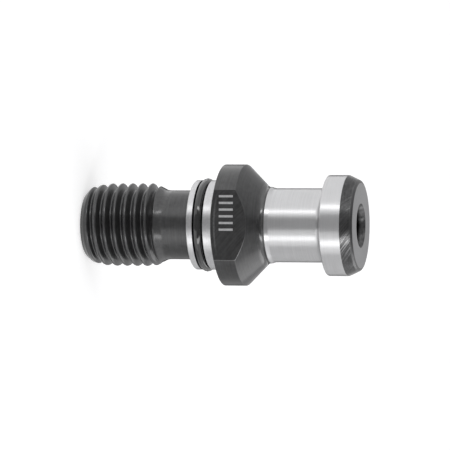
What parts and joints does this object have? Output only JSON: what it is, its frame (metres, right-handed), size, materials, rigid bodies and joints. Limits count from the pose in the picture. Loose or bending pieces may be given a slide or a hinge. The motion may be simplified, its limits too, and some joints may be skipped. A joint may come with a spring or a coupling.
{
  "type": "pull stud",
  "caption": "Retention knob for a taper tool holder: threaded stem, sealed pilot collar, flange with two wrench flats, waisted neck and chamfered head with a coolant bore.",
  "frame": {"origin": "centre of the threaded end face, which the stud stands on", "axes": "+Z along the stud from the threaded end to the head, and the two wrench flats face -Y and +Y"},
  "size_m": [0.023, 0.019, 0.0532],
  "materials": {
    "stud_steel": "black oxide, with the neck, the rim and end of the head, and the pilot collar ground bright",
    "ring_rubber": "matt black moulded rubber"
  },
  "bodies": {
    "root": {"stud_body": "stud_steel", "o_ring": "ring_rubber"}
  },
  "joints": []
}
